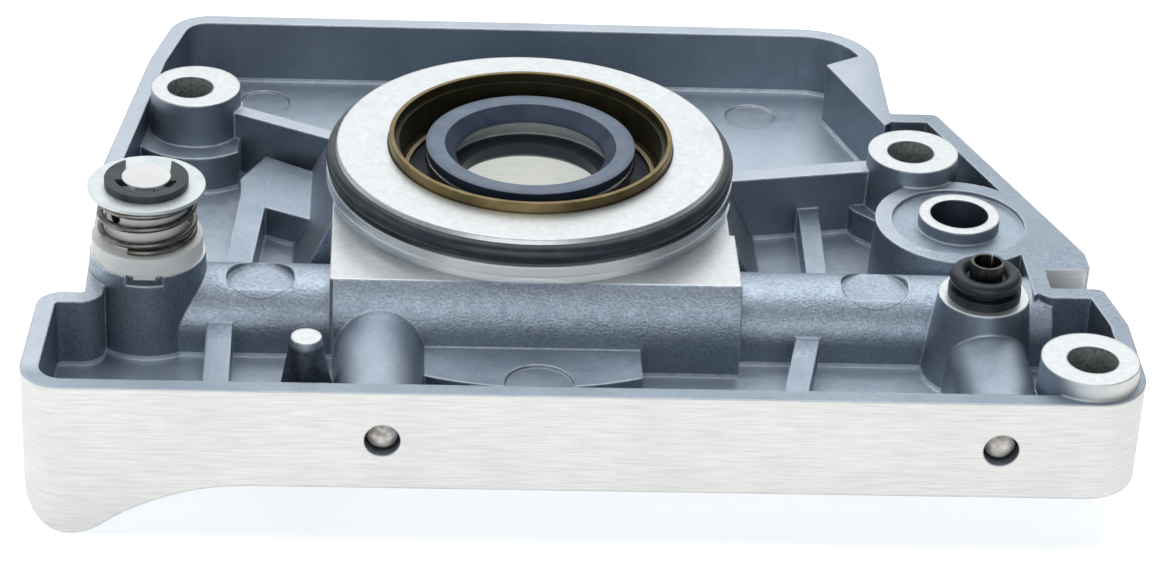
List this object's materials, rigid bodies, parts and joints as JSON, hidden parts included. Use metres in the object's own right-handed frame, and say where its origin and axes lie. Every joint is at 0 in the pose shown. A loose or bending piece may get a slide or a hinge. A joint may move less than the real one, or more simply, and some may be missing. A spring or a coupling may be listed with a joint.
{
  "type": "chainsaw oil pump",
  "caption": "Cast pump housing for a small engine, with a crankshaft seal in a raised round register, a cross barrel with a worm-driven plunger, a sprung stroke adjuster and an oil port.",
  "frame": {"origin": "the crankshaft axis on the crankcase joint face, which is the machined top of the bolt bosses", "axes": "+Z along the crankshaft into the crankcase, +X along the plunger barrel from the adjuster to the plug, -Y towards the ground front wall"},
  "size_m": [0.1149, 0.085, 0.0282],
  "materials": {
    "cast_housing": "grainy die-cast, machined bright on its joint faces",
    "seal_steel": "yellow passivated sheet steel",
    "seal_rubber": "satin black",
    "port_rubber": "matt black",
    "spring_steel": "drawn wire",
    "bright_steel": "bright zinc",
    "ground_steel": "ground",
    "dark_steel": "dark phosphated",
    "nylon": "natural white nylon"
  },
  "bodies": {
    "housing": {"pump_housing": "cast_housing", "seal_case": "seal_steel", "seal_inner_cup": "seal_steel", "seal_lip": "seal_rubber", "garter_spring": "spring_steel", "carrier_o_ring": "seal_rubber", "adjuster_collar": "nylon", "adjuster_spring": "spring_steel", "plunger_spring": "spring_steel", "barrel_plug": "bright_steel", "passage_ball_left": "bright_steel", "passage_ball_right": "bright_steel", "port_grommet": "port_rubber", "port_sleeve": "bright_steel"},
    "adjuster": {"adjuster_shaft": "nylon", "adjuster_washer": "bright_steel", "adjuster_e_clip": "dark_steel", "shaft_upper_o_ring": "seal_rubber", "shaft_lower_o_ring": "seal_rubber"},
    "spring_seat": {"thrust_washer": "ground_steel"},
    "piston": {"plunger": "ground_steel"}
  },
  "joints": [
    {"name": "adjuster_turn", "type": "hinge", "parent": "housing", "child": "adjuster", "pos_m": [-0.0407, -0.016, 0], "axis": [0, 0, 1], "range_deg": [0, 180]},
    {"name": "plunger_setting", "type": "slide", "parent": "housing", "child": "spring_seat", "axis": [1, 0, 0], "range_m": [-0.00124, 0], "deforming": ["plunger_spring"]},
    {"name": "plunger_turn", "type": "hinge", "parent": "spring_seat", "child": "piston", "pos_m": [0, -0.016, -0.0076], "axis": [1, 0, 0], "continuous": true}
  ],
  "couplings": [
    {"joint": "adjuster_turn", "follows": "plunger_setting", "rad_per_m": -2533.5}
  ]
}
